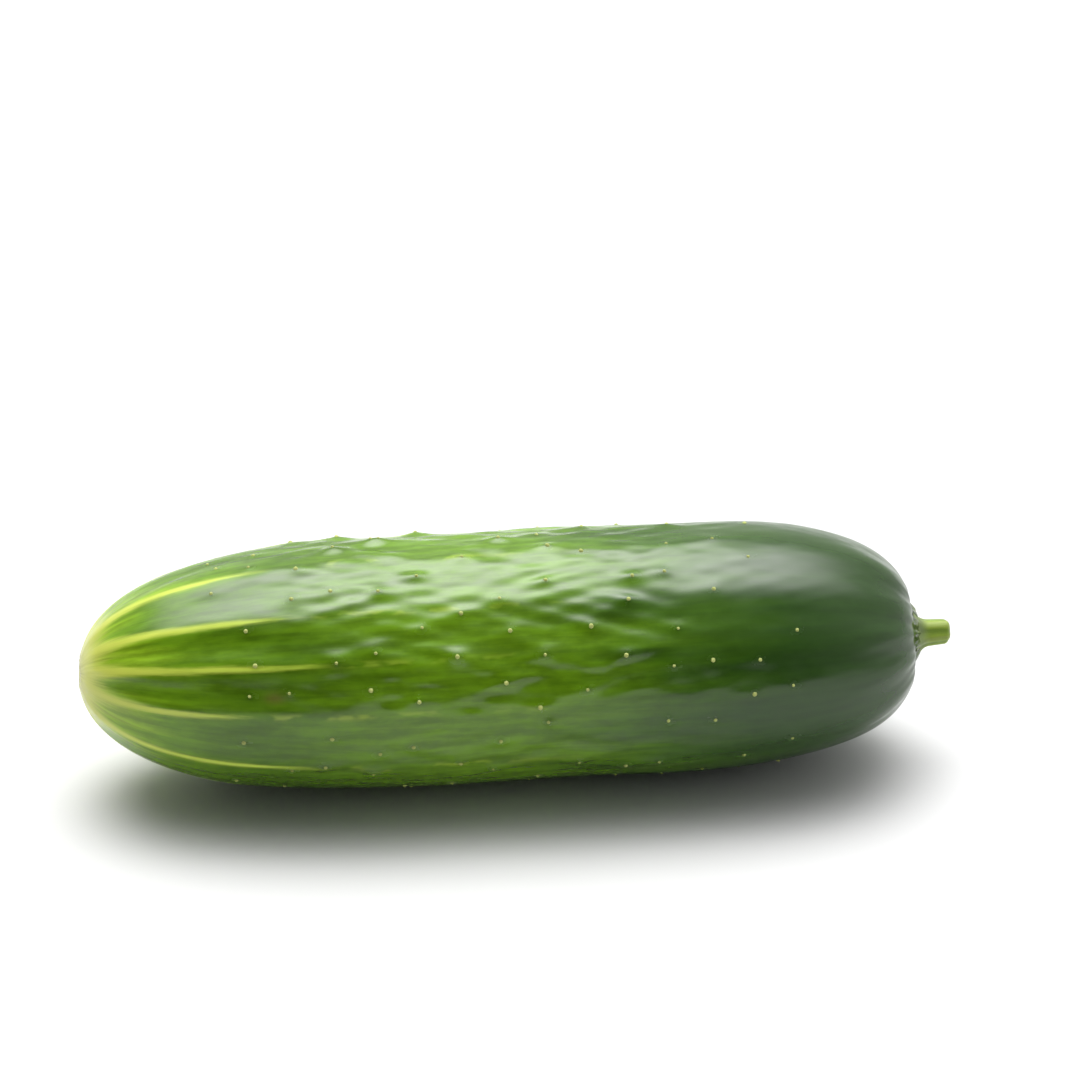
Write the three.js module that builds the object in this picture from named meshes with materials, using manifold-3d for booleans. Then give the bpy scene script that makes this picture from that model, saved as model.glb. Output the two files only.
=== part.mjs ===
// A fresh short cucumber lying on its side: the fruit, with the spines that grow on its skin, and the cut
// stub of its stem. Millimetres, +Z up, +X from the blossom tip towards the stem. The origin is on the
// surface that the fruit lies on, below the middle of the whole length.
import * as THREE from 'three';
import { mergeVertices } from 'three/addons/utils/BufferGeometryUtils.js';
import Module from 'manifold-3d';

// Driving dimensions of the fruit
const FRUIT_LENGTH = 140; // blossom tip to stem seat
const FRUIT_RADIUS = 20.8; // of the barrel
const BLOSSOM_TAPER = 61.5; // length over which the blossom end rounds off
const BLOSSOM_BLUNTNESS = 2.2; // 2 is an ellipse, more is blunter
const STEM_TAPER = 48; // length over which the stem end rounds off
const STEM_BLUNTNESS = 2.8;
const END_POWER = 3; // a higher power leaves the barrel later
const BLOSSOM_LIFT = 1.5; // rise of the centre line at the blossom tip
const STEM_LIFT = 0.5; // rise of the centre line at the stem seat
const BEND_POWER = 4; // even: a higher power keeps the middle straighter
const BELLY_FLAT = 0.3; // depth of the flat spot that the fruit lies on

// Relief of the skin
const RIB_COUNT = 13;
const FIRST_RIB = 0.55; // in radians up from the front
const RIB_STRAY = 0.07; // how far a rib is off its even place, in radians
const STRAY_WAVES = 3; // round the fruit
const RIB_HEIGHT = 0.09; // on the barrel
const BLOSSOM_RIB = 0.16; // added towards the blossom end
const BLOSSOM_ZONE = [0.15, 0.42]; // shares of the length over which that fades out
const STEM_RIB = 0.3; // added on the shoulder, where the grooves run in to the stem
const STEM_ZONE = [0.89, 0.99]; // shares of the length over which the grooves deepen
const LOBE_COUNT = 3;
const LOBE_HEIGHT = 0.25;
const SWELL_HEIGHT = 0.14; // slow lumps along the barrel
const SWELL_WAVES = 3.5; // along the length

// Spines on their warts
const SPINE_COUNT = 170;
const SPINE_ZONE = [0.15, 0.84]; // shares of the length between which spines grow
const SPINE_RADIUS = 0.8; // of the wart at the skin
const SPINE_HEIGHT = 0.5; // above the skin
const SPINE_ROOT = 1.0; // sunk below the skin
const SPINE_SIDES = 5;
const SPINE_ALONG_STEP = 0.7548776662; // plastic-number steps spread the spines evenly, without rows
const SPINE_AROUND_STEP = 0.569840291;
const SPINE_WANDER = 0.16; // how far a spine strays round the fruit, in radians
const SPINE_CLEARANCE = 1.6; // none grows lower than this above the flat spot

// Stem stub
const STEM_LENGTH = 5.4;
const STEM_RADIUS = 2.4; // above the foot
const CUT_RADIUS = 2.1; // the shaft narrows towards its cut end
const FOOT_RADIUS = 3.9;
const FOOT_HEIGHT = 2.4;
const CUT_ROUNDING = 0.7;
const STEM_RIDGES = 5;
const RIDGE_HEIGHT = 0.22;
const SEAT_GAP = 0.1; // between the foot and the fruit

// Mesh fineness
const FRUIT_AROUND = 65;
const FRUIT_ALONG = 40;
const STEM_AROUND = 20;
const CURVE_STEPS = 5;
const NORMAL_STEP = 1e-3;

const wasm = await Module();
wasm.setup();

const { lerp, smoothstep } = THREE.MathUtils;
const fraction = (value) => value - Math.floor(value);

// The centre line at a share of the length: straight in the middle, rising and tilting at both ends.
function centreLine(share) {
  const fromMiddle = 2 * share - 1;
  const lift = fromMiddle < 0 ? BLOSSOM_LIFT : STEM_LIFT;
  const slope = (2 * BEND_POWER * lift * fromMiddle ** (BEND_POWER - 1)) / FRUIT_LENGTH;
  return { x: share * FRUIT_LENGTH, z: lift * fromMiddle ** BEND_POWER, tilt: Math.atan(slope) };
}

// How full a superelliptic end is, from 0 at its pole to 1 where it joins the barrel.
function endFullness(distance, taper, bluntness) {
  const left = 1 - Math.min(distance / taper, 1);
  return (1 - left ** END_POWER) ** (1 / bluntness);
}

// Radius without relief, as a share of the barrel's radius.
function fullness(share) {
  const x = share * FRUIT_LENGTH;
  const blossomEnd = endFullness(x, BLOSSOM_TAPER, BLOSSOM_BLUNTNESS);
  const stemEnd = endFullness(FRUIT_LENGTH - x, STEM_TAPER, STEM_BLUNTNESS);
  return blossomEnd * stemEnd;
}

// Runs through a whole turn from one rib to the next. The ribs stand a little unevenly round the fruit.
function ribPhase(angle) {
  const turn = angle - FIRST_RIB;
  return RIB_COUNT * (turn + RIB_STRAY * Math.sin(STRAY_WAVES * turn));
}

// Height of the skin over the plain barrel: ribs that are higher at both ends, lobes and swells.
function relief(share, angle) {
  const blossomRib = BLOSSOM_RIB * (1 - smoothstep(share, ...BLOSSOM_ZONE));
  const stemRib = STEM_RIB * smoothstep(share, ...STEM_ZONE);
  const ribs = (RIB_HEIGHT + blossomRib + stemRib) * Math.cos(ribPhase(angle));
  const lobes = LOBE_HEIGHT * Math.cos(LOBE_COUNT * angle);
  const swells = SWELL_HEIGHT * Math.sin(2 * Math.PI * SWELL_WAVES * share + 2 * Math.sin(angle));
  return fullness(share) * (ribs + lobes + swells);
}

// A point of the skin. The angle is 0 at the front (-Y) and a quarter turn at the top (+Z).
function skinPoint(share, angle) {
  const { x, z, tilt } = centreLine(share);
  const radius = FRUIT_RADIUS * fullness(share) + relief(share, angle);
  const rise = radius * Math.sin(angle);
  const height = z + rise * Math.cos(tilt);
  return new THREE.Vector3(
    x - rise * Math.sin(tilt),
    -radius * Math.cos(angle),
    Math.max(height, BELLY_FLAT - FRUIT_RADIUS),
  );
}

function skinNormal(share, angle) {
  const along = skinPoint(share + NORMAL_STEP, angle).sub(skinPoint(share - NORMAL_STEP, angle));
  const around = skinPoint(share, angle + NORMAL_STEP).sub(skinPoint(share, angle - NORMAL_STEP));
  return along.cross(around).normalize();
}

// A closed geometry as a solid that can be joined.
function solidFrom(geometry) {
  geometry.deleteAttribute('normal');
  geometry.deleteAttribute('uv');
  const merged = mergeVertices(geometry);
  const vertProperties = merged.attributes.position.array;
  const triVerts = new Uint32Array(merged.index.array);
  return new wasm.Manifold(new wasm.Mesh({ numProp: 3, vertProperties, triVerts }));
}

function geometryFrom(solid) {
  const { vertProperties, triVerts } = solid.getMesh();
  const geometry = new THREE.BufferGeometry();
  geometry.setAttribute('position', new THREE.BufferAttribute(vertProperties, 3));
  geometry.setIndex(new THREE.BufferAttribute(triVerts, 1));
  geometry.computeVertexNormals();
  return geometry;
}

// The fruit without spines: a sphere's grid of meridians and parallels, drawn out over the skin.
function fruitBody() {
  const geometry = new THREE.SphereGeometry(1, FRUIT_AROUND, FRUIT_ALONG);
  const { position, uv } = geometry.attributes;
  for (let i = 0; i < position.count; i += 1) {
    const share = (1 - Math.cos(Math.PI * uv.getY(i))) / 2;
    const angle = -Math.PI / 2 - 2 * Math.PI * uv.getX(i);
    position.setXYZ(i, ...skinPoint(share, angle));
  }
  return geometry;
}

// Where the spines grow, spread evenly over the zone and clear of the flat spot.
function spineSites() {
  const sites = [];
  for (let i = 1; i <= SPINE_COUNT; i += 1) {
    const share = lerp(...SPINE_ZONE, fraction(i * SPINE_ALONG_STEP));
    const turn = 2 * Math.PI * fraction(i * SPINE_AROUND_STEP);
    const angle = turn + SPINE_WANDER * Math.sin(i * i);
    const foot = skinPoint(share, angle);
    if (foot.z > BELLY_FLAT - FRUIT_RADIUS + SPINE_CLEARANCE) {
      sites.push({ foot, normal: skinNormal(share, angle) });
    }
  }
  return sites;
}

// One wart tapering to its spine, standing on the skin with its root sunk in.
function spine({ foot, normal }) {
  const height = SPINE_HEIGHT + SPINE_ROOT;
  const rootRadius = (SPINE_RADIUS * height) / SPINE_HEIGHT;
  const cone = new THREE.ConeGeometry(rootRadius, height, SPINE_SIDES);
  const upright = new THREE.Vector3(0, 1, 0);
  const middle = foot.clone().addScaledVector(normal, SPINE_HEIGHT - height / 2);
  cone.applyQuaternion(new THREE.Quaternion().setFromUnitVectors(upright, normal));
  cone.translate(...middle);
  return cone;
}

function makeFruit() {
  let solid = solidFrom(fruitBody());
  for (const site of spineSites()) {
    solid = solid.add(solidFrom(spine(site)));
  }
  const skin = new THREE.MeshStandardMaterial({ color: 0x44701c, roughness: 0.32, metalness: 0 });
  const fruit = new THREE.Mesh(geometryFrom(solid), skin);
  fruit.name = 'fruit';
  return fruit;
}

// The stub's outline from the middle of its foot, up the flare and the shaft, to the middle of its cut.
function stemOutline() {
  return new THREE.Path()
    .moveTo(0, 0)
    .lineTo(FOOT_RADIUS, 0)
    .quadraticCurveTo(STEM_RADIUS, FOOT_HEIGHT / 3, STEM_RADIUS, FOOT_HEIGHT)
    .lineTo(CUT_RADIUS, STEM_LENGTH - CUT_ROUNDING)
    .quadraticCurveTo(CUT_RADIUS, STEM_LENGTH, CUT_RADIUS - CUT_ROUNDING, STEM_LENGTH)
    .lineTo(0, STEM_LENGTH);
}

// The stub turned about its own axis, then drawn out into ridges that run its length.
function makeStem() {
  const geometry = new THREE.LatheGeometry(stemOutline().getPoints(CURVE_STEPS), STEM_AROUND);
  const { position } = geometry.attributes;
  for (let i = 0; i < position.count; i += 1) {
    const radius = Math.hypot(position.getX(i), position.getZ(i));
    const angle = Math.atan2(position.getZ(i), position.getX(i));
    const ridge = RIDGE_HEIGHT * Math.cos(STEM_RIDGES * angle);
    const scale = 1 + ridge / FOOT_RADIUS;
    position.setX(i, radius * scale * Math.cos(angle));
    position.setZ(i, radius * scale * Math.sin(angle));
  }
  geometry.computeVertexNormals();
  const flesh = new THREE.MeshStandardMaterial({ color: 0x93aa52, roughness: 0.55, metalness: 0 });
  const stem = new THREE.Mesh(geometry, flesh);
  stem.name = 'stem';
  stem.position.y = SEAT_GAP;
  return stem;
}

// The stem stands on the end of the centre line, in a group turned along it.
function placeStem(stem) {
  const { x, z, tilt } = centreLine(1);
  const seat = new THREE.Group();
  seat.position.set(x, 0, z);
  seat.rotation.set(0, -tilt, -Math.PI / 2);
  seat.add(stem);
  return seat;
}

// The whole cucumber, moved so that its box stands on the origin.
const whole = new THREE.Group();
whole.add(makeFruit(), placeStem(makeStem()));
const box = new THREE.Box3().setFromObject(whole, true);
const middle = box.getCenter(new THREE.Vector3());
whole.position.set(-middle.x, -middle.y, -box.min.z);

const cucumber = new THREE.Group();
cucumber.add(whole);

export default cucumber;
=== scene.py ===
import math

import bpy
import numpy as np
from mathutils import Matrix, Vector


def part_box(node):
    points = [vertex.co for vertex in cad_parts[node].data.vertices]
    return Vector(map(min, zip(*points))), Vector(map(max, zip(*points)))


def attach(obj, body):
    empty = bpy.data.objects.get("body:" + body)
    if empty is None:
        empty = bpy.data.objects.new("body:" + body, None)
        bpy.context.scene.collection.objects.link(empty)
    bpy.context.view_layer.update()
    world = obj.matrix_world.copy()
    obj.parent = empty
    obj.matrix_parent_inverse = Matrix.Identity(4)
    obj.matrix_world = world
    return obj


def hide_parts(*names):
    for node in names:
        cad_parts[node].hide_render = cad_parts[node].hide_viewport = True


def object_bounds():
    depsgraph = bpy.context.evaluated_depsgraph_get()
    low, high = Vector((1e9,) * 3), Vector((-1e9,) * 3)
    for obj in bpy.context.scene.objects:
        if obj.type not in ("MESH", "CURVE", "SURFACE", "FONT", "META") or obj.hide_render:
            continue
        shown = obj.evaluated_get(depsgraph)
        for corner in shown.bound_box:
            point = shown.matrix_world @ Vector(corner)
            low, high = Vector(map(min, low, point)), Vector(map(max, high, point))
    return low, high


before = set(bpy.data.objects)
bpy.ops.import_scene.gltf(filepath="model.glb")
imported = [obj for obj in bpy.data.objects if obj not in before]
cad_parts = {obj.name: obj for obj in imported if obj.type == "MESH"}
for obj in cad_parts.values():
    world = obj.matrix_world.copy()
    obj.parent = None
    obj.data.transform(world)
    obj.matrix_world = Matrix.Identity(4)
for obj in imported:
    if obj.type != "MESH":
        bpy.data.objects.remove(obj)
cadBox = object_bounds()
print("frame loaded:", ", ".join(sorted(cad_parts)))

mm = 0.001
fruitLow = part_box("fruit")[0]


# Small helpers for arrays

def smooth(value, start, end):  # 0 before start, 1 after end, an S between them
    t = np.clip((value - start) / (end - start), 0, 1)
    return t * t * (3 - 2 * t)


def bell(value, width):  # a bell curve, 1 at 0
    return np.exp(-((value / width) ** 2))


def turnBetween(angle, other):  # the shorter way round between two angles, with its sign
    return (angle - other + math.pi) % (2 * math.pi) - math.pi


# Small helpers for meshes

def ringFaces(rows, columns, copies=1):
    # Quads between neighbouring rings, and a fan of triangles at each end. In each copy the vertices are
    # the first pole, the rings in order, and the last pole.
    row, column = np.meshgrid(np.arange(rows - 1), np.arange(columns), indexing="ij")
    here = 1 + row * columns + column
    beside = 1 + row * columns + (column + 1) % columns
    quads = np.stack([here, here + columns, beside + columns, beside], axis=-1).reshape(-1, 4)
    around = np.arange(columns)
    ahead = (around + 1) % columns
    lastRing = 1 + (rows - 1) * columns
    lastPole = 1 + rows * columns
    firstFan = np.stack([np.zeros_like(around), 1 + around, 1 + ahead], axis=-1)
    lastFan = np.stack([lastRing + around, np.full_like(around, lastPole), lastRing + ahead], axis=-1)
    fans = np.concatenate([firstFan, lastFan])
    starts = np.arange(copies) * (lastPole + 1)
    quads = (quads[None] + starts[:, None, None]).reshape(-1, 4)
    fans = (fans[None] + starts[:, None, None]).reshape(-1, 3)
    return quads, fans


def buildMesh(name, points, quads, fans, attributes, material):
    # Whole arrays go into the mesh, then each attribute by its number of values at a point.
    mesh = bpy.data.meshes.new(name)
    corners = np.concatenate([quads.ravel(), fans.ravel()])
    sizes = np.concatenate([np.full(len(quads), 4), np.full(len(fans), 3)])
    mesh.vertices.add(len(points))
    mesh.vertices.foreach_set("co", points.astype(np.float32).ravel())
    mesh.loops.add(len(corners))
    mesh.loops.foreach_set("vertex_index", corners.astype(np.int32))
    mesh.polygons.add(len(sizes))
    mesh.polygons.foreach_set("loop_start", (np.cumsum(sizes) - sizes).astype(np.int32))
    mesh.update(calc_edges=True)
    mesh.validate()
    mesh.shade_smooth()
    for key, values in attributes.items():
        if values.ndim == 2:
            layer = mesh.attributes.new(key, "FLOAT_VECTOR", "POINT")
            layer.data.foreach_set("vector", values.astype(np.float32).ravel())
        else:
            layer = mesh.attributes.new(key, "FLOAT", "POINT")
            layer.data.foreach_set("value", values.astype(np.float32))
    mesh.materials.append(material)
    piece = bpy.data.objects.new(name, mesh)
    bpy.context.scene.collection.objects.link(piece)
    print(f"{name}: {len(points)} points, {len(quads) * 2 + len(fans)} triangles")
    return piece


def withPoles(values):  # a grid of rings as one list, with its first and last ring each reduced to a point
    flat = values[1:-1].reshape((-1,) + values.shape[2:])
    return np.concatenate([values[:1, 0], flat, values[-1:, 0]])


# Small helpers for materials

noiseLevels = (0.3, 0.7)  # most of a noise lies between these


def addNode(tree, kind, inputs=None, **settings):
    node = tree.nodes.new("ShaderNode" + kind)
    for key, value in settings.items():
        setattr(node, key, value)
    for socket, value in (inputs or {}).items():
        if isinstance(value, bpy.types.NodeSocket):
            tree.links.new(value, node.inputs[socket])
        else:
            node.inputs[socket].default_value = value
    return node


def newMaterial(name, **sockets):
    material = bpy.data.materials.new(name)
    material.use_nodes = True
    tree = material.node_tree
    shader = tree.nodes["Principled BSDF"]
    for socket, value in sockets.items():
        shader.inputs[socket].default_value = value
    return material, tree, shader


def attributeOf(tree, name, output="Fac"):
    return addNode(tree, "Attribute", attribute_name=name).outputs[output]


def mathOf(tree, operation, first, second=0.0):
    return addNode(tree, "Math", {0: first, 1: second}, operation=operation).outputs[0]


def rangeOf(tree, value, fromLow, fromHigh, toLow=0.0, toHigh=1.0):
    sockets = {"Value": value, "From Min": fromLow, "From Max": fromHigh, "To Min": toLow, "To Max": toHigh}
    return addNode(tree, "MapRange", sockets, interpolation_type="SMOOTHSTEP").outputs[0]


def noiseOf(tree, vector, perMetre, detail=2.0, roughness=0.5):
    stretched = addNode(tree, "VectorMath", {0: vector, 1: perMetre}, operation="MULTIPLY").outputs[0]
    sockets = {"Vector": stretched, "Scale": 1.0, "Detail": detail, "Roughness": roughness}
    return addNode(tree, "TexNoise", sockets).outputs["Fac"]


def rampOf(tree, factor, stops):
    node = addNode(tree, "ValToRGB", {"Fac": factor})
    elements = node.color_ramp.elements
    while len(elements) < len(stops):
        elements.new(0.5)
    for element, (position, colour) in zip(elements, stops):
        element.position = position
        element.color = (*colour, 1)
    return node.outputs["Color"]


def mixOf(tree, factor, first, second, mode="MIX"):
    node = addNode(tree, "Mix", {"Factor": factor}, data_type="RGBA", blend_type=mode)
    for socket, value in ((node.inputs[6], first), (node.inputs[7], second)):
        if isinstance(value, bpy.types.NodeSocket):
            tree.links.new(value, socket)
        else:
            socket.default_value = (*value, 1)
    return node.outputs[2]


# The fruit's form

fruitForm = {
    "length": 140 * mm,
    "radius": 20.8 * mm,
    "blossomEnd": (61.5 * mm, 2.2),  # length over which the end rounds off, and its bluntness
    "stemEnd": (48 * mm, 2.8),
    "endPower": 3,
    "blossomLift": 1.5 * mm,  # rise of the centre line at the tip
    "stemLift": 0.5 * mm,
    "bellyFlat": 0.3 * mm,  # depth of the flat spot that it lies on
    "ribs": 13,
    "firstRib": 0.55,  # radians up from the front
    "ribStray": 0.07,  # how far a rib is off its even place
    "strayWaves": 3,
    "ribHeight": 0.09 * mm,
    "blossomRib": 0.16 * mm,  # added towards the blossom end
    "blossomZone": (0.15, 0.42),
    "stemRib": 0.30 * mm,  # added on the shoulder, where the grooves run in to the stem
    "stemZone": (0.89, 0.99),
    "lobes": 3,
    "lobeHeight": 0.25 * mm,
    "swellHeight": 0.14 * mm,
    "swellWaves": 3.5,
    "swellTurn": 2,  # radians by which the swells shift round the fruit
}

# The stem's ridges are even, so the mean of its corners lies on the fruit's axis.
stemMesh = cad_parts["stem"].data
stemCorners = np.empty(len(stemMesh.vertices) * 3, np.float32)
stemMesh.vertices.foreach_get("co", stemCorners)
axisSide = float(stemCorners.reshape(-1, 3)[:, 1].mean())
fruitPlace = np.array([fruitLow.x, axisSide, fruitForm["radius"] - fruitForm["bellyFlat"]])


def centreLine(share):
    # Straight in the middle, rising as the fourth power of the distance from it towards each end.
    fromMiddle = 2 * share - 1
    lift = np.where(fromMiddle < 0, fruitForm["blossomLift"], fruitForm["stemLift"])
    slope = 8 * lift * fromMiddle ** 3 / fruitForm["length"]
    return share * fruitForm["length"], lift * fromMiddle ** 4, np.arctan(slope)


def fullness(share):
    # Two superelliptic ends multiplied: each grows from 0 at its pole to 1 on the barrel.
    x = share * fruitForm["length"]
    full = 1
    for distance, end in ((x, "blossomEnd"), (fruitForm["length"] - x, "stemEnd")):
        taper, bluntness = fruitForm[end]
        left = 1 - np.clip(distance / taper, 0, 1)
        full = full * (1 - left ** fruitForm["endPower"]) ** (1 / bluntness)
    return full


def ribPhase(angle):
    # Runs through a whole turn from one rib to the next; a slow sine makes the ribs stand a little unevenly.
    turn = angle - fruitForm["firstRib"]
    return fruitForm["ribs"] * (turn + fruitForm["ribStray"] * np.sin(fruitForm["strayWaves"] * turn))


def barrelPoint(share, angle):
    # The centre line's point plus the radius, turned by the angle: 0 is the front, a quarter turn the top.
    # Ribs, lobes and slow swells are added to the radius as cosines of the angle and the length.
    form = fruitForm
    x, z, tilt = centreLine(share)
    full = fullness(share)
    ribHeight = form["ribHeight"] + form["blossomRib"] * (1 - smooth(share, *form["blossomZone"]))
    ribHeight = ribHeight + form["stemRib"] * smooth(share, *form["stemZone"])
    ribs = ribHeight * np.cos(ribPhase(angle))
    lobes = form["lobeHeight"] * np.cos(form["lobes"] * angle)
    swellPhase = 2 * math.pi * form["swellWaves"] * share + form["swellTurn"] * np.sin(angle)
    swells = form["swellHeight"] * np.sin(swellPhase)
    radius = full * (form["radius"] + (ribs + lobes + swells))
    rise = radius * np.sin(angle)
    local = np.stack([x - rise * np.sin(tilt), -radius * np.cos(angle), z + rise * np.cos(tilt)], axis=-1)
    return local + fruitPlace


shortStep = 0.001  # in radians, and as a share of the length


def barrelNormal(share, angle):
    # The step along the skin crossed with the step round it, both short, and shorter towards the poles.
    share = np.clip(share, 1e-6, 1 - 1e-6)
    step = np.minimum(np.minimum(share, 1 - share) / 4, shortStep)
    along = barrelPoint(share + step, angle) - barrelPoint(share - step, angle)
    around = barrelPoint(share, angle + shortStep) - barrelPoint(share, angle - shortStep)
    normal = np.cross(along, around)
    return normal / np.linalg.norm(normal, axis=-1, keepdims=True)


# Distance along the skin from the blossom tip, at shares of the length that crowd towards the poles
profileShares = (1 - np.cos(np.linspace(0, math.pi, 4001))) / 2
profileRadii = fruitForm["radius"] * fullness(profileShares)
profileSteps = np.hypot(np.diff(profileShares) * fruitForm["length"], np.diff(profileRadii))
profileArcs = np.concatenate([[0], np.cumsum(profileSteps)])
skinLength = profileArcs[-1]


def arcOf(share):
    return np.interp(share, profileShares, profileArcs)


# Warts and ripples of the skin

warts = {
    "count": 170,
    "zone": (0.15, 0.84),  # shares of the length between which they grow
    "alongStep": 0.7548776662,  # plastic-number steps spread them evenly, without rows
    "aroundStep": 0.569840291,
    "wander": 0.16,
    "clearance": 1.6 * mm,  # none grows lower than this above the flat spot
    "mound": 0.42 * mm,
    "moundWidth": (2.6 * mm, 1.35 * mm),  # along the fruit and round it
    "peak": 0.10 * mm,
    "peakWidth": (0.9 * mm, 0.7 * mm),
    "sizes": (0.6, 1.25),
    "seed": 3,
}

skinRelief = {
    "lumps": {"seed": 11, "waves": 60, "height": 0.07 * mm, "round": (7, 22), "perMetre": (20, 80)},
    "ripples": {"seed": 23, "waves": 80, "height": 0.046 * mm, "round": (26, 52), "perMetre": (50, 125)},
    "unevenZone": (0.17, 0.36, 0.60, 0.82),  # grows between the first two shares, fades between the last two
    "unevenLeast": 0.15,  # what is left of it at both ends
    "restZone": (0.35, 0.80),  # and how far below the middle it fades out, as a share of the radius
    "sink": 0.08 * mm,  # the skin between the warts lies lower
    "scarDepth": 0.45 * mm,
    "scarRadius": 1.7 * mm,
    "scarRim": 0.14 * mm,  # a low ring round the scar
    "scarRing": 2.55 * mm,
    "scarWidth": 0.68 * mm,
    "seatDip": 0.6 * mm,  # the skin sinks in a ring round the stem
    "seatRing": 6.4 * mm,
    "seatWidth": 1.9 * mm,
    "seatRim": 0.55 * mm,  # and rises in puckers beside it
    "rimRing": 3.7 * mm,
    "rimWidth": 1.0 * mm,
    "puckerLeast": 0.45,  # share of the rim that is left between two puckers
    "pleats": 26,  # fine folds that run in to the stem
    "pleatDepth": 0.10 * mm,
    "pleatStray": 1.5,  # radians of a pleat's turn
    "pleatRing": 7 * mm,  # how far from the stem they are deepest
    "pleatWidth": 4 * mm,
}


def wartSites():
    number = np.arange(1, warts["count"] + 1)
    low, high = warts["zone"]
    share = low + (high - low) * (number * warts["alongStep"] % 1)
    angle = 2 * math.pi * (number * warts["aroundStep"] % 1) + warts["wander"] * np.sin(number * number)
    clear = barrelPoint(share, angle)[:, 2] > warts["clearance"]
    return share[clear], angle[clear]


siteShares, siteAngles = wartSites()
siteArcs = arcOf(siteShares)
siteSizes = np.random.default_rng(warts["seed"]).uniform(*warts["sizes"], len(siteArcs))


def wartField(arc, angle):
    # Each wart is a broad mound with a small peak: bell curves of the distance over the skin, drawn out along
    # the fruit. The peaks alone are given too, for the painted shade and the dullness on the warts.
    mounds = np.zeros(np.broadcast(arc, angle).shape)
    peaks = np.zeros_like(mounds)
    for siteArc, siteAngle, size in zip(siteArcs, siteAngles, siteSizes):
        along = arc - siteArc
        across = fruitForm["radius"] * turnBetween(angle, siteAngle)
        for field, (alongWidth, acrossWidth) in ((mounds, warts["moundWidth"]), (peaks, warts["peakWidth"])):
            field += size * bell(along, alongWidth) * bell(across, acrossWidth)
    return warts["mound"] * mounds + warts["peak"] * peaks, np.minimum(peaks, 1)


def waveField(kind, arc, angle):
    # Seeded waves added up. Each has a whole number of crests round the fruit, so the field closes on itself.
    draw = np.random.default_rng(kind["seed"])
    count = kind["waves"]
    crests = draw.integers(kind["round"][0], kind["round"][1] + 1, count) * draw.choice((-1, 1), count)
    pitches = draw.uniform(*kind["perMetre"], count)
    phases = draw.uniform(0, 2 * math.pi, count)
    field = np.zeros(np.broadcast(arc, angle).shape)
    for crest, pitch, phase in zip(crests, pitches, phases):
        field += np.sin(2 * math.pi * pitch * arc + crest * angle + phase)
    return kind["height"] * math.sqrt(2 / count) * field


def skinHeight(share, angle):
    # Height of the fine relief over the barrel: lumps, ripples and warts, strongest on the middle stretch,
    # the blossom scar in its rim, and the dip and pleats round the stem.
    relief = skinRelief
    arc = arcOf(share)
    fromStem = skinLength - arc
    scar = relief["scarRim"] * bell(arc - relief["scarRing"], relief["scarWidth"])
    scar = scar - relief["scarDepth"] * bell(arc, relief["scarRadius"])
    least = relief["puckerLeast"]
    puckers = least + (1 - least) * np.cos(0.5 * ribPhase(angle)) ** 2
    rim = relief["seatRim"] * puckers * bell(fromStem - relief["rimRing"], relief["rimWidth"])
    dip = relief["seatDip"] * bell(fromStem - relief["seatRing"], relief["seatWidth"])
    stray = relief["pleatStray"] * np.sin(fruitForm["strayWaves"] * angle)
    pleats = np.cos(relief["pleats"] * angle + stray)
    pleats = pleats * bell(fromStem - relief["pleatRing"], relief["pleatWidth"])
    grow, full, hold, fade = relief["unevenZone"]
    middle = smooth(share, grow, full) * (1 - smooth(share, hold, fade))
    uneven = relief["unevenLeast"] + (1 - relief["unevenLeast"]) * middle
    uneven = uneven * (1 - smooth(-np.sin(angle), *relief["restZone"]))
    waves = waveField(relief["lumps"], arc, angle) + waveField(relief["ripples"], arc, angle)
    height = uneven * (waves + wartField(arc, angle)[0]) - middle * relief["sink"]
    return height + scar + rim - dip - relief["pleatDepth"] * pleats


def skinPoint(share, angle):
    point = barrelPoint(share, angle) + barrelNormal(share, angle) * skinHeight(share, angle)[..., None]
    point[..., 2] = np.maximum(point[..., 2], 0)
    return point


# Marks on the skin

skinMarks = {
    "stripeWidth": (1.10 * mm, 0.50 * mm),  # half width at the start, and where the stripe ends
    "stripeShares": (0.55, 1.05),  # of that width, from the thinnest stripe to the widest
    "stripeFlare": (2.2 * mm, 9 * mm),  # how much wider it is at the tip, and how far from it
    "stripeLength": (44 * mm, 62 * mm),
    "lengthTurn": (2.4, 0.8),  # radians from rib to rib, and at the first, of the sine that sets it
    "stripeFade": (0.55, 1.05),  # shares of its length between which a stripe fades
    "widestRib": 0.3,  # where round the fruit the stripes are widest, counted in ribs
    "dashWidth": 0.5 * mm,  # the broken line that goes on past a stripe's end
    "dashStart": 0.7,  # share of the stripe's length where it starts
    "dashEnd": (70 * mm, 100 * mm),
    "paleTip": (5 * mm, 15 * mm),  # wholly pale up to the first, green from the second
    "scarRadius": 2.6 * mm,
    # The collar is pale skin with a painted glint, lightest on the rib tops where the puckers rise
    "collarRing": 3.8 * mm,  # the light ring round the stem
    "collarWidth": 1.1 * mm,
    "collarLeast": 0.35,  # share of it that is left between two ribs
    "blemishStrength": 0.6,
    "blemishStretch": 0.6,  # less is longer along the fruit
    "blemishes": (  # share of the length, degrees up from the front, and radius
        (0.226, 17.2, 1.0 * mm),
        (0.41, 148.0, 1.3 * mm),
        (0.63, 214.0, 0.9 * mm),
    ),
}


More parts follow.
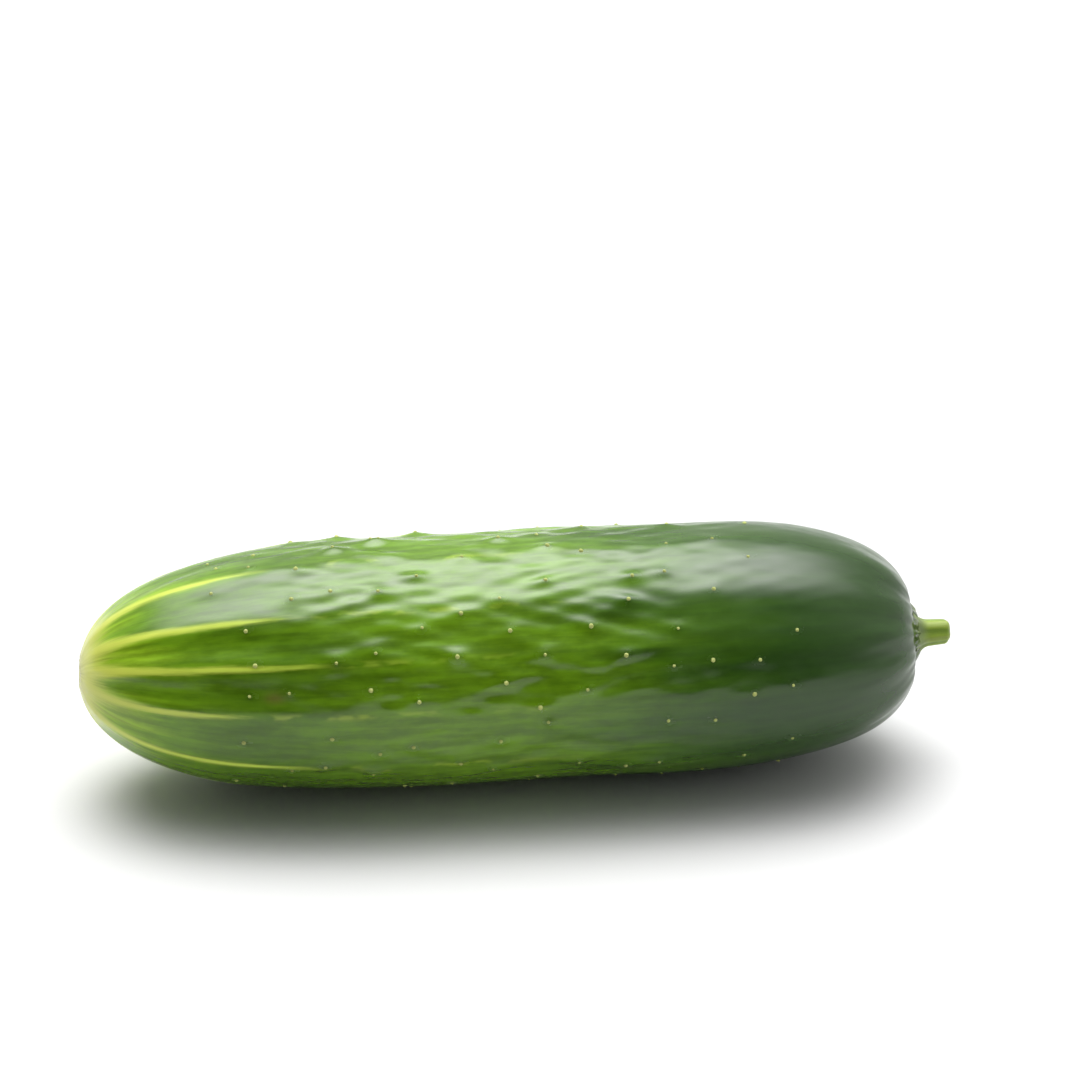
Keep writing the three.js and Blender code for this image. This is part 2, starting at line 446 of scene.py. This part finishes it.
def stripeFields(share, arc, angle):
    # The pale tip with a stripe on each rib, and the broken line past the stripe's end. Both are bell curves
    # of the distance from the rib's line. Each rib's number sets how far its stripe runs.
    marks = skinMarks
    phase = ribPhase(angle)
    rib = np.round(phase / (2 * math.pi))
    across = fruitForm["radius"] * fullness(share) * (phase - 2 * math.pi * rib) / fruitForm["ribs"]
    shortest, longest = marks["stripeLength"]
    ribTurn, firstTurn = marks["lengthTurn"]
    reach = 0.5 + 0.5 * np.sin(ribTurn * (rib % fruitForm["ribs"]) + firstTurn)
    end = shortest + (longest - shortest) * reach
    startWidth, endWidth = marks["stripeWidth"]
    flare, flareLength = marks["stripeFlare"]
    width = endWidth + (startWidth - endWidth) * np.clip(1 - arc / end, 0, 1)
    width = width + flare * bell(arc, flareLength)
    thinnest, widest = marks["stripeShares"]
    turn = 4 * math.pi * (rib - marks["widestRib"]) / fruitForm["ribs"]
    width = width * (thinnest + (widest - thinnest) * (0.5 + 0.5 * np.cos(turn)))
    fadeStart, fadeEnd = marks["stripeFade"]
    stripe = bell(across, width) * (1 - smooth(arc, fadeStart * end, fadeEnd * end))
    dash = bell(across, marks["dashWidth"]) * smooth(arc, marks["dashStart"] * end, end)
    dash = dash * (1 - smooth(arc, *marks["dashEnd"]))
    return np.maximum(1 - smooth(arc, *marks["paleTip"]), stripe), dash


def blemishField(arc, angle):
    field = np.zeros(np.broadcast(arc, angle).shape)
    for share, degrees, size in skinMarks["blemishes"]:
        along = skinMarks["blemishStretch"] * (arc - arcOf(share))
        across = fruitForm["radius"] * turnBetween(angle, math.radians(degrees))
        field += bell(np.hypot(along, across), size)
    return field


# Skin material

skinFinish = {
    "lanes": (  # green between the stripes, by share of the skin's length from the tip
        (0.00, (0.390, 0.480, 0.058)),
        (0.07, (0.250, 0.420, 0.015)),
        (0.13, (0.125, 0.260, 0.005)),
        (0.24, (0.074, 0.166, 0.003)),
        (0.40, (0.118, 0.245, 0.005)),
        (0.53, (0.116, 0.245, 0.005)),
        (0.65, (0.046, 0.118, 0.004)),
        (0.76, (0.022, 0.068, 0.004)),
        (0.92, (0.018, 0.056, 0.005)),
        (1.00, (0.012, 0.038, 0.004)),
    ),
    "pale": (  # the tip and the stripes
        (0.00, (0.600, 0.610, 0.110)),
        (0.10, (0.600, 0.690, 0.095)),
        (0.26, (0.560, 0.720, 0.080)),
        (0.60, (0.260, 0.400, 0.022)),
    ),
    "scar": (0.230, 0.170, 0.080),
    "blemish": (0.190, 0.160, 0.035),
    # Pale skin round the stem, partly a painted glint on the puckers
    "collarAndGlints": (0.200, 0.250, 0.110),
    # Painted shade: a dark green laid on each wart's peak, for the dark hollows round the spines
    "wart": (0.030, 0.085, 0.004),
    "halo": 0.25,  # how far the skin darkens on a wart
    "dullness": 0.08,  # added to the roughness there
    "shade": (0.74, 1.28),  # how far the streaks darken and lighten the green
    "calm": 0.7,  # how far the streaks weaken towards the stem
    "calmZone": (0.55, 0.8),
    "dashes": 0.5,
    "fray": 0.9,  # how far the fine threads shift the edges of the stripes
    "roughness": (0.18, 0.27),
    # Noises by their waves to a metre, along the fruit and across it
    "streaks": {"perMetre": (70, 620, 620), "detail": 3.0, "roughness": 0.6},
    "broadStreaks": {"perMetre": (24, 210, 210)},
    "mottle": {"perMetre": (240, 480, 480), "detail": 4.0, "roughness": 0.65},
    "threads": {"perMetre": (130, 1300, 1300), "detail": 3.0, "roughness": 0.65},
    "breaks": {"perMetre": (190, 420, 420)},
    "laneShift": 0.05,  # share of the length by which the broad streaks shift the lanes
    "mottled": 0.35,  # share of the mottle in the shade, with streaks for the rest
    # Levels between which each of these goes from none to all
    "shadeLevels": (0.34, 0.66),
    "paleLevels": (0.15, 1.05),
    "breakLevels": (0.47, 0.62),
    "haloLevels": (0.1, 0.7),
    "roughLevels": (0.3, 0.65),
    "markLevels": (0.25, 0.6),
    "markLeast": 0.45,  # share of a mark that is left where the mottle is low
}


def skinMaterial():
    # Noise levels and attributes mix the colours; the mottle sets the roughness.
    finish = skinFinish
    material, tree, shader = newMaterial("cucumberSkin")
    flow = attributeOf(tree, "flow", "Vector")
    along = addNode(tree, "SeparateXYZ", {0: flow}).outputs[0]
    share = mathOf(tree, "DIVIDE", along, skinLength)
    streaks = noiseOf(tree, flow, **finish["streaks"])
    broadStreaks = noiseOf(tree, flow, **finish["broadStreaks"])
    mottle = noiseOf(tree, flow, **finish["mottle"])
    # The green lanes, shifted to and fro along the fruit by the broad streaks
    shift = rangeOf(tree, broadStreaks, *noiseLevels, -finish["laneShift"], finish["laneShift"])
    lanes = rampOf(tree, mathOf(tree, "ADD", share, shift), finish["lanes"])
    streaked = mathOf(tree, "MULTIPLY", streaks, 1 - finish["mottled"])
    mottled = mathOf(tree, "MULTIPLY", mottle, finish["mottled"])
    lightness = mathOf(tree, "ADD", streaked, mottled)
    shade = rangeOf(tree, lightness, *finish["shadeLevels"], *finish["shade"])
    calm = rangeOf(tree, share, *finish["calmZone"], 0.0, finish["calm"])
    lively = mathOf(tree, "SUBTRACT", 1.0, calm)
    shade = mathOf(tree, "ADD", mathOf(tree, "MULTIPLY", shade, lively), calm)
    grey = addNode(tree, "CombineXYZ", {0: shade, 1: shade, 2: shade}).outputs[0]
    lanes = mixOf(tree, 1.0, lanes, grey, "MULTIPLY")
    # The tip and stripes, frayed by the threads
    pale = rampOf(tree, share, finish["pale"])
    threads = noiseOf(tree, flow, **finish["threads"])
    shifted = mathOf(tree, "MULTIPLY", mathOf(tree, "SUBTRACT", threads, 0.5), finish["fray"])
    frayed = mathOf(tree, "ADD", attributeOf(tree, "pale"), shifted)
    colour = mixOf(tree, rangeOf(tree, frayed, *finish["paleLevels"]), lanes, pale)
    broken = rangeOf(tree, noiseOf(tree, flow, **finish["breaks"]), *finish["breakLevels"])
    dashes = mathOf(tree, "MULTIPLY", attributeOf(tree, "dash"), broken)
    dashes = mathOf(tree, "MULTIPLY", dashes, finish["dashes"])
    colour = mixOf(tree, dashes, colour, pale)
    # Small marks: painted shade on the warts, the pale collar with painted glints, the blemishes and the scar
    # Painted shade on the warts: the skin darkens on each peak, and the same mask makes it duller
    wart = attributeOf(tree, "wart")
    halo = rangeOf(tree, wart, *finish["haloLevels"], 0.0, finish["halo"])
    colour = mixOf(tree, halo, colour, finish["wart"])
    patchy = rangeOf(tree, mottle, *finish["markLevels"], finish["markLeast"], 1.0)
    for name in ("collarAndGlints", "blemish", "scar"):
        amount = mathOf(tree, "MULTIPLY", attributeOf(tree, name), patchy)
        colour = mixOf(tree, amount, colour, finish[name])
    tree.links.new(colour, shader.inputs["Base Color"])
    rough = rangeOf(tree, mottle, *finish["roughLevels"])
    rough = rangeOf(tree, rough, 0.0, 1.0, *finish["roughness"])
    dull = mathOf(tree, "MULTIPLY", wart, finish["dullness"])
    rough = mathOf(tree, "ADD", rough, dull)
    tree.links.new(rough, shader.inputs["Roughness"])
    return material


# Fruit skin

skinGrid = {"ends": 36, "middle": 234, "around": 318, "wartyPart": (0.19, 0.82)}


def makeSkin():
    # Rings along the skin, closer together on the warty part, and points at even turns, from under the belly.
    low, high = (part * skinLength for part in skinGrid["wartyPart"])
    arcs = np.concatenate([np.linspace(0, low, skinGrid["ends"], endpoint=False),
                           np.linspace(low, high, skinGrid["middle"], endpoint=False),
                           np.linspace(high, skinLength, skinGrid["ends"] + 1)])
    shares = np.interp(arcs, profileArcs, profileShares)[:, None]
    angles = (-math.pi / 2 + 2 * math.pi * np.arange(skinGrid["around"]) / skinGrid["around"])[None, :]
    share, angle = np.broadcast_arrays(shares, angles)
    arc = arcOf(share)
    fromStem = skinLength - arc
    flow = np.stack([arc, fruitForm["radius"] * np.cos(angle), fruitForm["radius"] * np.sin(angle)], axis=-1)
    marks = skinMarks
    ribTops = 0.5 + 0.5 * np.cos(ribPhase(angle))
    # Pale collar with painted glints, strongest on the rib tops
    collarAndGlints = bell(fromStem - marks["collarRing"], marks["collarWidth"])
    pale, dash = stripeFields(share, arc, angle)
    attributes = {
        "flow": flow,
        "pale": pale,
        "dash": dash,
        # Mask of the wart peaks, for the painted shade and the dullness
        "wart": wartField(arc, angle)[1],
        "scar": bell(arc, marks["scarRadius"]),
        "blemish": marks["blemishStrength"] * blemishField(arc, angle),
        "collarAndGlints": collarAndGlints * (marks["collarLeast"] + (1 - marks["collarLeast"]) * ribTops),
    }
    attributes = {key: withPoles(values) for key, values in attributes.items()}
    quads, fans = ringFaces(len(arcs) - 2, skinGrid["around"])
    points = withPoles(skinPoint(share, angle))
    skin = buildMesh("fruit_skin", points, quads, fans, attributes, skinMaterial())
    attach(skin, "root")
    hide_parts("fruit")


# Spines

spines = {
    "radius": 0.48 * mm,
    "height": 0.24 * mm,  # above the wart
    "root": 0.4 * mm,  # sunk below it
    "sizes": (0.75, 1.2),
    "levels": (0.0, 0.0, 0.5, 0.8, 0.95, 1.0),  # rings from the middle of the root to the tip
    "roundness": 1.5,  # more is blunter
    "columns": 8,
    "lean": 0.35,  # how far a tip leans, as a share of its height
    "seed": 5,
    "colours": ((0.30, (0.230, 0.330, 0.040)), (0.62, (0.470, 0.520, 0.150))),  # by level
    "flecks": {"perMetre": (2500, 2500, 2500)},
    "fleckShift": 0.12,
    "roughness": 0.6,
}


def spineMaterial():
    material, tree, shader = newMaterial("cucumberSpine", Roughness=spines["roughness"])
    height = attributeOf(tree, "height")
    flecks = noiseOf(tree, attributeOf(tree, "flow", "Vector"), **spines["flecks"])
    shift = rangeOf(tree, flecks, *noiseLevels, -spines["fleckShift"], spines["fleckShift"])
    colour = rampOf(tree, mathOf(tree, "ADD", height, shift), spines["colours"])
    tree.links.new(colour, shader.inputs["Base Color"])
    return material


def makeSpines():
    # A blunt cone about the skin's normal. Its radius falls as the root of one less a power of the level.
    draw = np.random.default_rng(spines["seed"])
    count = len(siteShares)
    foot = skinPoint(siteShares, siteAngles)
    normal = barrelNormal(siteShares, siteAngles)
    side = np.cross(normal, (1.0, 0.0, 0.0))
    side = side / np.linalg.norm(side, axis=-1, keepdims=True)
    ahead = np.cross(side, normal)
    size = draw.uniform(*spines["sizes"], (count, 1, 1, 1))
    lean = draw.uniform(-spines["lean"], spines["lean"], (2, count, 1, 1, 1))
    levels = np.array(spines["levels"])
    radii = spines["radius"] * np.sqrt(1 - levels ** spines["roundness"])
    radii[0] = 0
    heights = -spines["root"] + levels * (spines["root"] + spines["height"])
    turn = 2 * math.pi * np.arange(spines["columns"]) / spines["columns"]
    radii, heights = radii[None, :, None, None], heights[None, :, None, None]
    spread = size * radii
    up = np.where(heights > 0, size, 1) * heights
    bend = np.maximum(up, 0)
    place = foot[:, None, None] + normal[:, None, None] * up
    place = place + side[:, None, None] * (spread * np.cos(turn)[None, None, :, None] + lean[0] * bend)
    place = place + ahead[:, None, None] * (spread * np.sin(turn)[None, None, :, None] + lean[1] * bend)
    level = np.broadcast_to(levels[None, :, None], place.shape[:3])
    points = np.concatenate([withPoles(one) for one in place])
    attributes = {"flow": points, "height": np.concatenate([withPoles(one) for one in level])}
    quads, fans = ringFaces(len(levels) - 2, spines["columns"], count)
    piece = buildMesh("fruit_spines", points, quads, fans, attributes, spineMaterial())
    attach(piece, "root")


# Stem stub

stem = {
    "length": 5.5 * mm,
    "radius": 2.42 * mm,
    "cutRadius": 2.1 * mm,  # the shaft narrows a little towards the cut
    "footRadius": 3.6 * mm,
    "footHeight": 2.2 * mm,
    "footSink": 0.7 * mm,  # the foot's edge is sunk in the skin
    "cutRounding": 0.75 * mm,
    "flarePower": 2.2,
    "cutHollow": 0.3 * mm,
    "hollowWidth": 0.6,  # as a share of the cut's radius
    "cutTilt": (0.12, 0.8),  # slope of the cut, and where round the stem it is highest
    "ridges": 5,
    "ridgeStray": 0.6,  # how far a ridge is off its even place, in radians of its turn
    "ridgeHeight": (0.0605, 0.143),  # shares of the radius, on the shaft and at the foot
    "oval": (0.04, 0.7),  # share of the radius, and its turn
    # Painted shade: the stem darkens towards its foot, in the crease where it meets the skin
    "footShade": (0.85, 0.4 * mm, 2.4 * mm),  # its strength, and the heights between which it ends
    "rimStain": (0.8, 5, 6.0),  # its strength, rings before the cut, and width in rings
    "cutStain": (-2, 4),  # rings from the cut's first ring between which it sets in
    "rows": (26, 16, 14),  # rings on the side, round the edge of the cut, and across the cut
    "columns": 120,
}

stemFinish = {
    "flesh": ((0.25, (0.135, 0.225, 0.014)), (0.50, (0.240, 0.345, 0.028)), (0.78, (0.310, 0.385, 0.085))),
    # Colour of the painted shade at the stem's foot
    "foot": (0.150, 0.200, 0.075),
    "rim": (0.340, 0.380, 0.170),
    "cut": ((0.30, (0.210, 0.180, 0.070)), (0.70, (0.330, 0.350, 0.150))),
    "roughness": (0.48, 0.66),
    "bump": 0.5,
    "bumpHeight": 0.15 * mm,
    "fibres": {"perMetre": (160, 1500, 1500), "detail": 3.0, "roughness": 0.6},
    "grain": {"perMetre": (1600, 2200, 2200), "detail": 4.0, "roughness": 0.6},
    "ridged": 0.4,  # share of the ridges in the colour, with fibres for the rest
    "grainy": 0.4,  # share of the grain added to the fibres in the bump
}


def stemMaterial():
    finish = stemFinish
    material, tree, shader = newMaterial("cucumberStem")
    flow = attributeOf(tree, "flow", "Vector")
    fibres = noiseOf(tree, flow, **finish["fibres"])
    grain = noiseOf(tree, flow, **finish["grain"])
    ridges = mathOf(tree, "MULTIPLY", attributeOf(tree, "ridge"), finish["ridged"])
    fibred = mathOf(tree, "MULTIPLY", fibres, 1 - finish["ridged"])
    colour = rampOf(tree, mathOf(tree, "ADD", fibred, ridges), finish["flesh"])
    # Painted shade towards the stem's foot
    colour = mixOf(tree, attributeOf(tree, "foot"), colour, finish["foot"])
    colour = mixOf(tree, attributeOf(tree, "rim"), colour, finish["rim"])
    colour = mixOf(tree, attributeOf(tree, "cut"), colour, rampOf(tree, grain, finish["cut"]))
    tree.links.new(colour, shader.inputs["Base Color"])
    rough = rangeOf(tree, grain, *noiseLevels, *finish["roughness"])
    tree.links.new(rough, shader.inputs["Roughness"])
    relief = mathOf(tree, "ADD", fibres, mathOf(tree, "MULTIPLY", grain, finish["grainy"]))
    sockets = {"Strength": finish["bump"], "Distance": finish["bumpHeight"], "Height": relief}
    tree.links.new(addNode(tree, "Bump", sockets).outputs[0], shader.inputs["Normal"])
    return material


def stemProfile():
    # Heights and radii from the foot's edge up the flare and the shaft, round the cut's edge, and across
    # the cut, which is hollowed as a bell curve of the radius.
    sideRows, edgeRows, cutRows = stem["rows"]
    shoulder = stem["length"] - stem["cutRounding"]
    side = np.linspace(-stem["footSink"], shoulder, sideRows)
    flare = np.clip(1 - side / stem["footHeight"], 0, None) ** stem["flarePower"]
    shaft = np.interp(side, (0, stem["length"]), (stem["radius"], stem["cutRadius"]))
    sideRadius = shaft + (stem["footRadius"] - stem["radius"]) * flare
    bend = np.linspace(0, math.pi / 2, edgeRows + 1)[1:]
    face = sideRadius[-1] - stem["cutRounding"]
    edge = shoulder + stem["cutRounding"] * np.sin(bend)
    edgeRadius = face + stem["cutRounding"] * np.cos(bend)
    cutRadius = np.linspace(face, 0, cutRows + 1)[1:]
    cut = stem["length"] - stem["cutHollow"] * bell(cutRadius, stem["hollowWidth"] * face)
    heights = np.concatenate([side[:1], side, edge, cut])
    radii = np.concatenate([[0], sideRadius, edgeRadius, cutRadius])
    return heights, radii


def makeStem():
    # The profile turned about the end of the centre line. Ridges are a cosine of the turn, highest at the
    # foot, and the cut slopes.
    heights, radii = stemProfile()
    turn = 2 * math.pi * np.arange(stem["columns"]) / stem["columns"]
    height, radius = heights[:, None], radii[:, None]
    ridge = np.cos(stem["ridges"] * turn + stem["ridgeStray"] * np.sin(2 * turn))[None, :]
    onShaft, atFoot = stem["ridgeHeight"]
    ridgeHeight = atFoot + (onShaft - atFoot) * smooth(height, 0, stem["footHeight"])
    oval, ovalTurn = stem["oval"]
    radius = radius * (1 + ridgeHeight * ridge + oval * np.sin(2 * turn + ovalTurn)[None, :])
    slope, highest = stem["cutTilt"]
    slope = slope * smooth(height, 0.5 * stem["length"], stem["length"])
    height = height + slope * radius * np.cos(turn - highest)[None, :]
    x, z, tilt = centreLine(np.array(1.0))
    axis = np.array([math.cos(tilt), 0, math.sin(tilt)])
    up = np.array([-math.sin(tilt), 0, math.cos(tilt)])
    front = np.array([0.0, -1.0, 0.0])
    seat = fruitPlace + np.array([x, 0, z])
    height, radius = np.broadcast_arrays(height, radius)
    across, rise = radius * np.cos(turn), radius * np.sin(turn)
    points = seat + height[..., None] * axis + across[..., None] * front + rise[..., None] * up
    full = np.broadcast_to(ridge, height.shape)
    evenAcross, evenRise = stem["radius"] * np.cos(turn), stem["radius"] * np.sin(turn)
    flow = np.stack(np.broadcast_arrays(height, evenAcross, evenRise), axis=-1)
    fromCut = np.arange(len(heights)) - (len(heights) - stem["rows"][2])
    fromCut = np.broadcast_to(fromCut[:, None], height.shape)
    footShade, *footHeights = stem["footShade"]
    rimStain, rimBefore, rimWidth = stem["rimStain"]
    attributes = {
        "flow": flow,
        "ridge": 0.5 + 0.5 * full,
        # Painted shade, fading out up the foot
        "foot": footShade * (1 - smooth(height, *footHeights)),
        "rim": rimStain * bell(fromCut + rimBefore, rimWidth),
        "cut": smooth(fromCut, *stem["cutStain"]),
    }
    attributes = {key: withPoles(values) for key, values in attributes.items()}
    quads, fans = ringFaces(len(heights) - 2, stem["columns"])
    piece = buildMesh("stem_stub", withPoles(points), quads, fans, attributes, stemMaterial())
    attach(piece, "root")
    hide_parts("stem")


# Floor, light and camera

studio = {
    "floorSize": 24.0,
    "floorDrop": 0.0002,
    "floorColour": 0.74,
    "floorRoughness": 0.9,
    "floorFade": (1.0, 3.5),  # distances between which the camera sees the floor turn white
    "boxHeight": 4.0,
    "boxMiddle": (-0.1, 1.5),
    "boxSpread": ((2.2, 2.3), (1.45, 2.05)),  # widths of its glow: left and right, front and back
    "boxEdge": (-3.1, -2.3),  # its glow stops at the left
    "boxReach": 2,  # the sheet ends at this many widths
    "boxStrength": 9.3,
    "roomLight": (0.02, 0.82),  # in front on the left, and behind on the right
    "roomTowards": (0.6, 0.8, 0.0),  # the direction in which it grows lighter
    "roomSpan": (-0.8, 0.6),  # cosines to that direction between which it does
    "roomSeen": 1.0,  # what the camera sees of it
}


def levelSheet(name, left, right, front, back, height, material):
    mesh = bpy.data.meshes.new(name)
    corners = [(left, front, height), (right, front, height), (right, back, height), (left, back, height)]
    mesh.from_pydata(corners, [], [(0, 1, 2, 3)])
    mesh.materials.append(material)
    sheet = bpy.data.objects.new(name, mesh)
    bpy.context.scene.collection.objects.link(sheet)
    return sheet


def makeFloor():
    # Matt, and blended into white by the distance, for the camera alone.
    colour = studio["floorColour"]
    material, tree, shader = newMaterial("paleFloor", Roughness=studio["floorRoughness"])
    shader.inputs["Base Color"].default_value = (colour, colour, colour, 1)
    shader.inputs["Specular IOR Level"].default_value = 0.0
    place = addNode(tree, "TexCoord").outputs["Object"]
    distance = addNode(tree, "VectorMath", {0: place}, operation="LENGTH").outputs["Value"]
    seen = addNode(tree, "LightPath").outputs["Is Camera Ray"]
    far = mathOf(tree, "MULTIPLY", rangeOf(tree, distance, *studio["floorFade"]), seen)
    white = addNode(tree, "Emission", {"Strength": studio["roomSeen"]}).outputs[0]
    faded = addNode(tree, "MixShader", {0: far, 1: shader.outputs[0], 2: white}).outputs[0]
    tree.links.new(faded, tree.nodes["Material Output"].inputs["Surface"])
    half = studio["floorSize"] / 2
    levelSheet("floor", -half, half, -half, half, -studio["floorDrop"], material)
    print("floor made")


def makeSoftbox():
    # It glows as a bell curve of the distance from its middle, wider to the back than to the front.
    glow = bpy.data.materials.new("softboxGlow")
    glow.use_nodes = True
    tree = glow.node_tree
    tree.nodes.remove(tree.nodes["Principled BSDF"])
    place = addNode(tree, "TexCoord").outputs["Object"]
    parts = addNode(tree, "SeparateXYZ", {0: place}).outputs
    total = 0.0
    corners = []
    for part, middle, (low, high) in zip(parts, studio["boxMiddle"], studio["boxSpread"]):
        distance = mathOf(tree, "SUBTRACT", part, middle)
        below = mathOf(tree, "DIVIDE", mathOf(tree, "MINIMUM", distance, 0.0), low)
        above = mathOf(tree, "DIVIDE", mathOf(tree, "MAXIMUM", distance, 0.0), high)
        squares = mathOf(tree, "POWER", mathOf(tree, "ADD", below, above), 2.0)
        total = mathOf(tree, "ADD", squares, total)
        corners += [middle - studio["boxReach"] * low, middle + studio["boxReach"] * high]
    glowing = mathOf(tree, "EXPONENT", mathOf(tree, "MULTIPLY", total, -1.0))
    edge = rangeOf(tree, parts[0], *studio["boxEdge"], 0.0, studio["boxStrength"])
    light = addNode(tree, "Emission", {"Strength": mathOf(tree, "MULTIPLY", glowing, edge)}).outputs[0]
    clear = addNode(tree, "BsdfTransparent").outputs[0]
    both = addNode(tree, "AddShader", {0: light, 1: clear}).outputs[0]
    tree.links.new(both, tree.nodes["Material Output"].inputs["Surface"])
    box = levelSheet("softbox", *corners, studio["boxHeight"], glow)
    box.visible_camera = False
    print("softbox made")


def makeRoom():
    # It grows lighter from the front on the left to the back on the right. The camera sees it white.
    world = bpy.data.worlds.new("studioWorld")
    world.use_nodes = True
    bpy.context.scene.world = world
    tree = world.node_tree
    seen = addNode(tree, "LightPath").outputs["Is Camera Ray"]
    direction = addNode(tree, "TexCoord").outputs["Generated"]
    sockets = {0: direction, 1: studio["roomTowards"]}
    towards = addNode(tree, "VectorMath", sockets, operation="DOT_PRODUCT").outputs["Value"]
    room = rangeOf(tree, towards, *studio["roomSpan"], *studio["roomLight"])
    level = addNode(tree, "Mix", {0: seen, 2: room, 3: studio["roomSeen"]}).outputs[0]
    tree.links.new(level, tree.nodes["Background"].inputs["Strength"])
    tree.nodes["Background"].inputs["Color"].default_value = (1, 1, 1, 1)
    bpy.context.scene.view_settings.view_transform = "Standard"
    print("room made")


cameraView = {
    "azimuth": -5.7,  # degrees; the stem end is a little further away
    "elevation": 30.0,
    "lens": 150.0,
    "sensor": 36.0,
    "clip": (0.01, 100.0),
    "framePixels": 1080,
    "pixelsPerMetre": 6000,
    "middlePixel": (517.2, 654.8),  # where the object's middle is in the frame
}


def makeCamera():
    # The aim is off the object's middle by what puts that middle on its pixel.
    view = cameraView
    around, above = math.radians(view["azimuth"]), math.radians(view["elevation"])
    back = Vector((math.sin(around) * math.cos(above), -math.cos(around) * math.cos(above), math.sin(above)))
    turn = (-back).to_track_quat("-Z", "Y")
    right, up = turn @ Vector((1, 0, 0)), turn @ Vector((0, 1, 0))
    middle = (cadBox[0] + cadBox[1]) / 2
    offRight = (view["framePixels"] / 2 - view["middlePixel"][0]) / view["pixelsPerMetre"]
    offUp = (view["middlePixel"][1] - view["framePixels"] / 2) / view["pixelsPerMetre"]
    distance = view["framePixels"] / view["pixelsPerMetre"] * view["lens"] / view["sensor"]
    data = bpy.data.cameras.new("camera")
    data.lens, data.sensor_width = view["lens"], view["sensor"]
    data.clip_start, data.clip_end = view["clip"]
    camera = bpy.data.objects.new("camera", data)
    camera.location = middle + right * offRight + up * offUp + back * distance
    camera.rotation_mode = "QUATERNION"
    camera.rotation_quaternion = turn
    bpy.context.scene.collection.objects.link(camera)
    bpy.context.scene.camera = camera
    print(f"camera {distance:.3f} m away")


makeCamera()
makeFloor()
makeSoftbox()
makeRoom()
makeSkin()
makeSpines()
makeStem()
